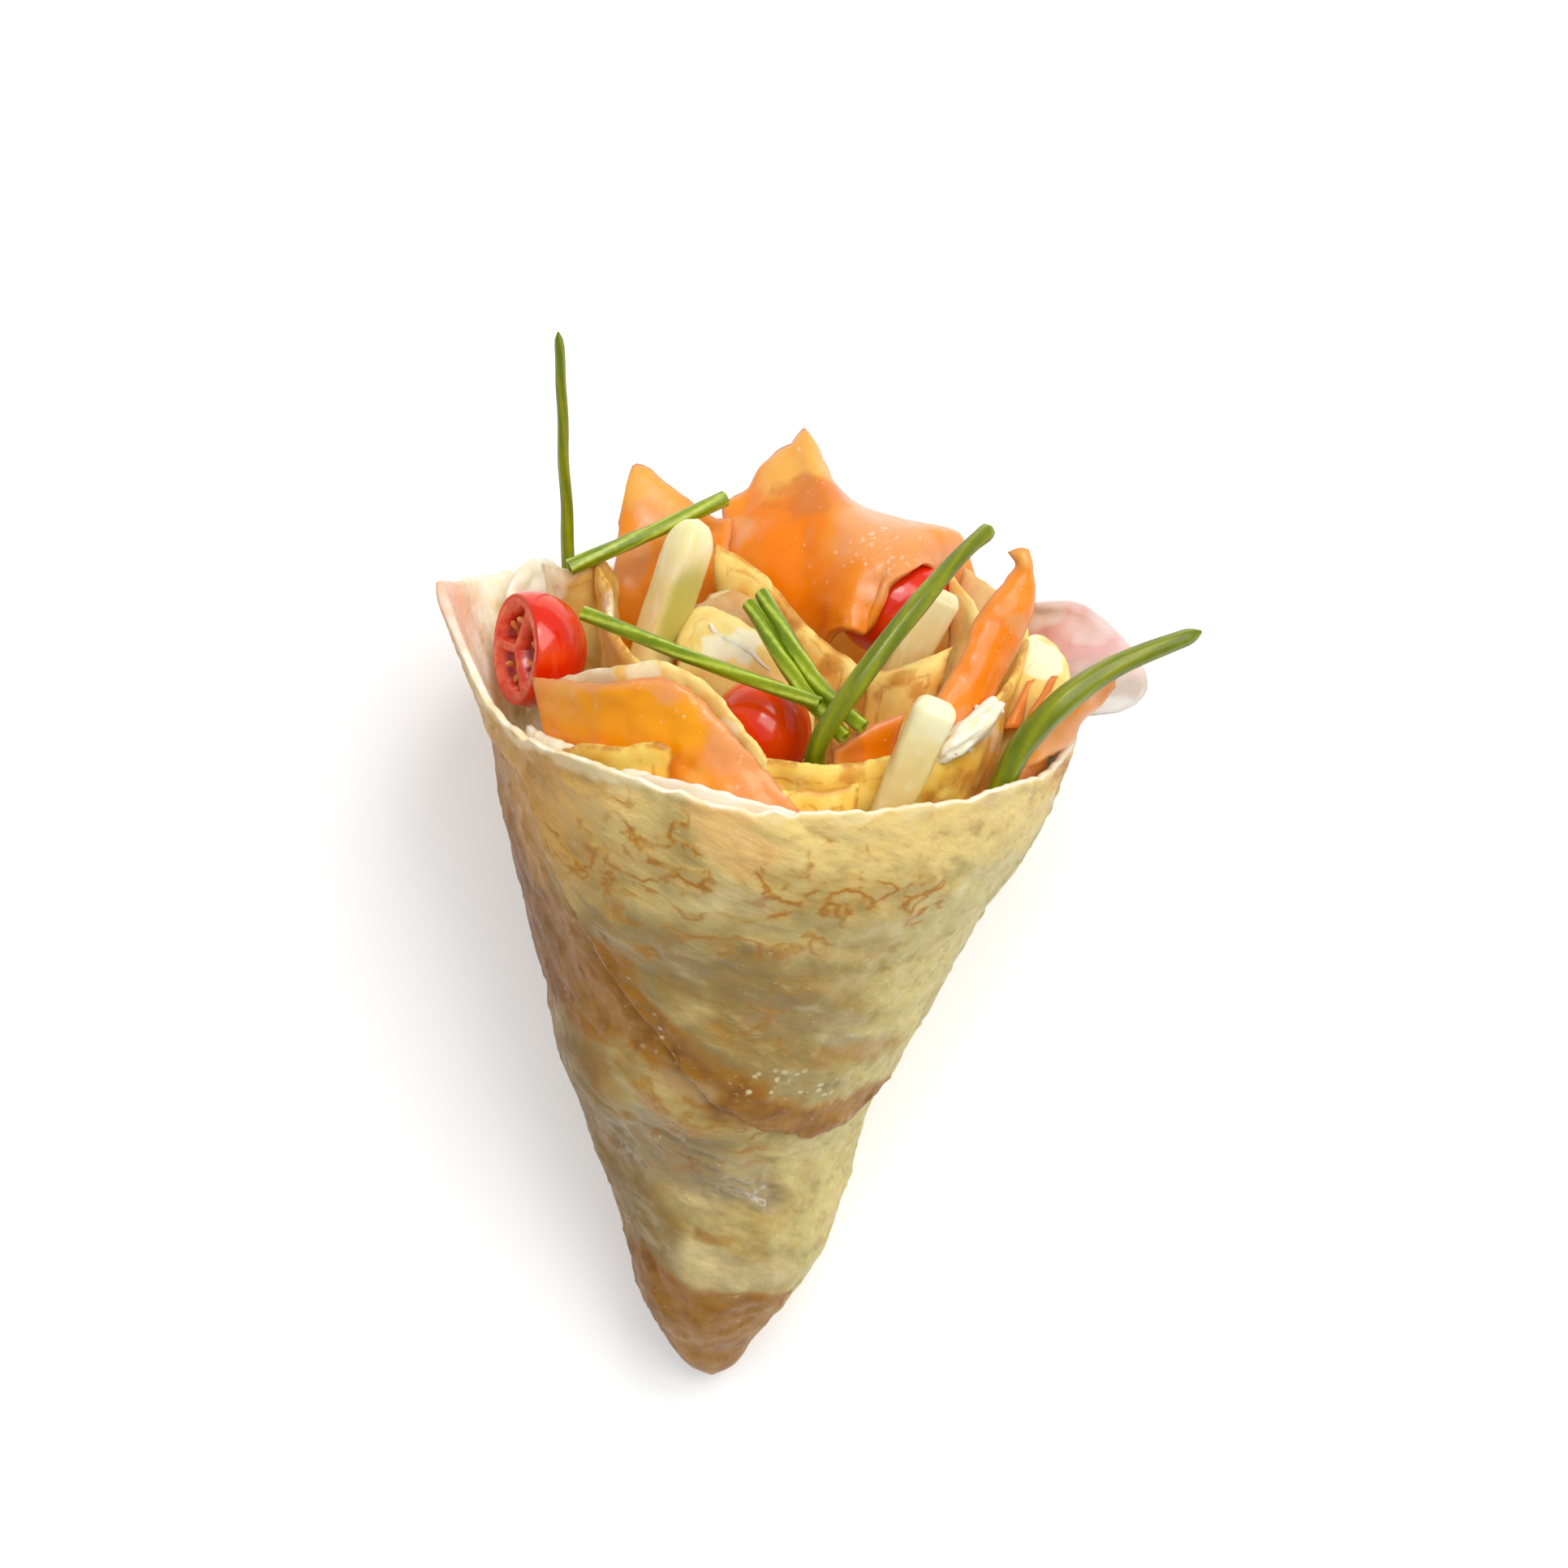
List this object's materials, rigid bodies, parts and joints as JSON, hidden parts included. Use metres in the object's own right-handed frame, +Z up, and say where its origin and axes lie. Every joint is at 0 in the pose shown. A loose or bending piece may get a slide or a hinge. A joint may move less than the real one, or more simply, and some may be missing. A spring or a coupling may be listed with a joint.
{
  "type": "filled crepe cone",
  "caption": "Savoury crepe rolled into a cone and filled with smoked salmon, cherry tomatoes, vegetable sticks and chives, lying on its back.",
  "frame": {"origin": "middle of the whole crepe's box, at the floor it lies on", "axes": "+Y from the tip to the mouth, +Z up to the side that shows, +X to the right of that side"},
  "size_m": [0.139, 0.2036, 0.1048],
  "materials": {
    "crepe": "soft, thin pancake, pale cream with browned lace marks",
    "tomato": "glossy tomato skin",
    "stick": "moist, pale and slightly translucent",
    "chive": "smooth green leaf with a light sheen",
    "salmon": "moist, translucent smoked fish",
    "ham": "moist, pale and translucent",
    "cream": "soft, crumbly cream cheese"
  },
  "bodies": {
    "root": {"crepe_cone": "crepe", "tomato_left": "tomato", "tomato_centre": "tomato", "tomato_right": "tomato", "stick_left": "stick", "stick_right": "stick", "stick_front": "stick", "chive_upright": "chive", "chive_back": "chive", "chive_left": "chive", "chive_centre_upper": "chive", "chive_centre_lower": "chive", "chive_diagonal": "chive", "chive_right": "chive", "cream_right": "cream", "salmon_back": "salmon", "salmon_back_left": "salmon", "salmon_front_left": "salmon", "salmon_right": "salmon", "salmon_right_rim": "salmon", "salmon_centre": "salmon", "salmon_shred_low": "salmon", "salmon_shred_high": "salmon", "ham_slice": "ham", "fold_ring": "crepe", "fold_front": "crepe", "fold_front_left": "crepe", "fold_left": "crepe", "fold_curl": "crepe", "fold_diagonal": "crepe", "fold_right_band": "crepe", "fold_centre": "crepe", "fold_centre_back": "crepe", "fold_back_right": "crepe", "fold_right_flap": "crepe", "fold_tab": "crepe"}
  },
  "joints": []
}
